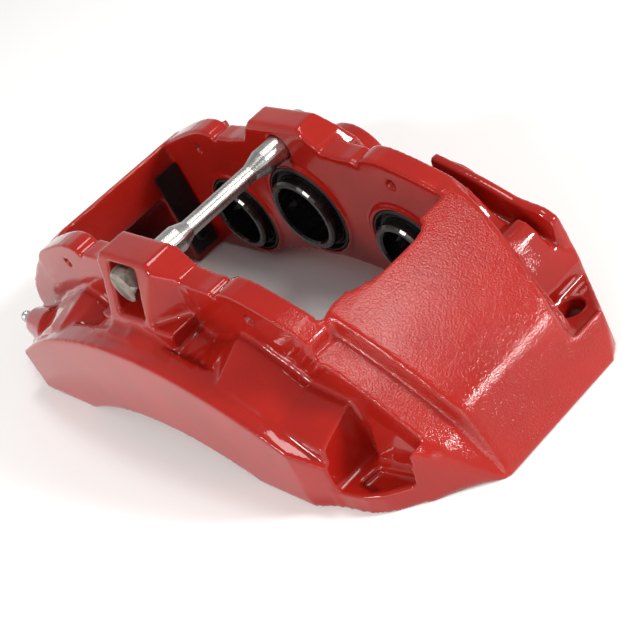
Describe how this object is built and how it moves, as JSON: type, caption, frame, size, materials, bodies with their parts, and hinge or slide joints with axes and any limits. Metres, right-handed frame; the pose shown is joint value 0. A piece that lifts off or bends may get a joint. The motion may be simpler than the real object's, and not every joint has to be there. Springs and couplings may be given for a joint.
{
  "type": "brake caliper",
  "caption": "Fixed disc-brake caliper with opposed pistons, dust boots, pad wear plates, bleed screws and a tie bolt over the pad window.",
  "frame": {"origin": "on the plane the four corners stand on, under the middle of the pad window, half way between the pads", "axes": "+X along the caliper, +Y along the disc's axis towards the inboard side, +Z away from the disc's axis"},
  "size_m": [0.292, 0.137, 0.0745],
  "materials": {
    "red_paint": "gloss",
    "black_anodised": "satin anodised",
    "black_rubber": "satin",
    "bright_steel": "satin turned",
    "zinc_plated": "satin",
    "black_coated_steel": "satin"
  },
  "bodies": {
    "caliper": {"caliper_body": "red_paint", "piston_seal_outboard_left": "black_rubber", "dust_boot_outboard_left": "black_rubber", "piston_seal_outboard_middle": "black_rubber", "dust_boot_outboard_middle": "black_rubber", "piston_seal_outboard_right": "black_rubber", "dust_boot_outboard_right": "black_rubber", "abutment_plate_outboard_left": "black_coated_steel", "abutment_screw_outboard_left": "zinc_plated", "abutment_plate_outboard_right": "black_coated_steel", "abutment_screw_outboard_right": "zinc_plated", "piston_seal_inboard_left": "black_rubber", "dust_boot_inboard_left": "black_rubber", "piston_seal_inboard_middle": "black_rubber", "dust_boot_inboard_middle": "black_rubber", "piston_seal_inboard_right": "black_rubber", "dust_boot_inboard_right": "black_rubber", "abutment_plate_inboard_left": "black_coated_steel", "abutment_screw_inboard_left": "zinc_plated", "abutment_plate_inboard_right": "black_coated_steel", "abutment_screw_inboard_right": "zinc_plated", "bridge_bolt": "bright_steel", "bridge_nut": "zinc_plated"},
    "piston_outboard_left": {"piston_outboard_left": "black_anodised"},
    "piston_outboard_middle": {"piston_outboard_middle": "black_anodised"},
    "piston_outboard_right": {"piston_outboard_right": "black_anodised"},
    "bleed_screw_outboard": {"bleed_screw_outboard": "zinc_plated"},
    "piston_inboard_left": {"piston_inboard_left": "black_anodised"},
    "piston_inboard_middle": {"piston_inboard_middle": "black_anodised"},
    "piston_inboard_right": {"piston_inboard_right": "black_anodised"},
    "bleed_screw_inboard": {"bleed_screw_inboard": "zinc_plated"}
  },
  "joints": [
    {"name": "piston_slide_outboard_left", "type": "slide", "parent": "caliper", "child": "piston_outboard_left", "axis": [0, 1, 0], "range_m": [0, 0.01]},
    {"name": "piston_slide_outboard_middle", "type": "slide", "parent": "caliper", "child": "piston_outboard_middle", "axis": [0, 1, 0], "range_m": [0, 0.01]},
    {"name": "piston_slide_outboard_right", "type": "slide", "parent": "caliper", "child": "piston_outboard_right", "axis": [0, 1, 0], "range_m": [0, 0.01]},
    {"name": "bleed_screw_turn_outboard", "type": "hinge", "parent": "caliper", "child": "bleed_screw_outboard", "pos_m": [-0.106, -0.052, 0.021], "axis": [-1, 0, 0], "range_deg": [0, 180]},
    {"name": "piston_slide_inboard_left", "type": "slide", "parent": "caliper", "child": "piston_inboard_left", "axis": [0, -1, 0], "range_m": [0, 0.01]},
    {"name": "piston_slide_inboard_middle", "type": "slide", "parent": "caliper", "child": "piston_inboard_middle", "axis": [0, -1, 0], "range_m": [0, 0.01]},
    {"name": "piston_slide_inboard_right", "type": "slide", "parent": "caliper", "child": "piston_inboard_right", "axis": [0, -1, 0], "range_m": [0, 0.01]},
    {"name": "bleed_screw_turn_inboard", "type": "hinge", "parent": "caliper", "child": "bleed_screw_inboard", "pos_m": [-0.106, 0.062, 0.021], "axis": [-1, 0, 0], "range_deg": [0, 180]}
  ]
}
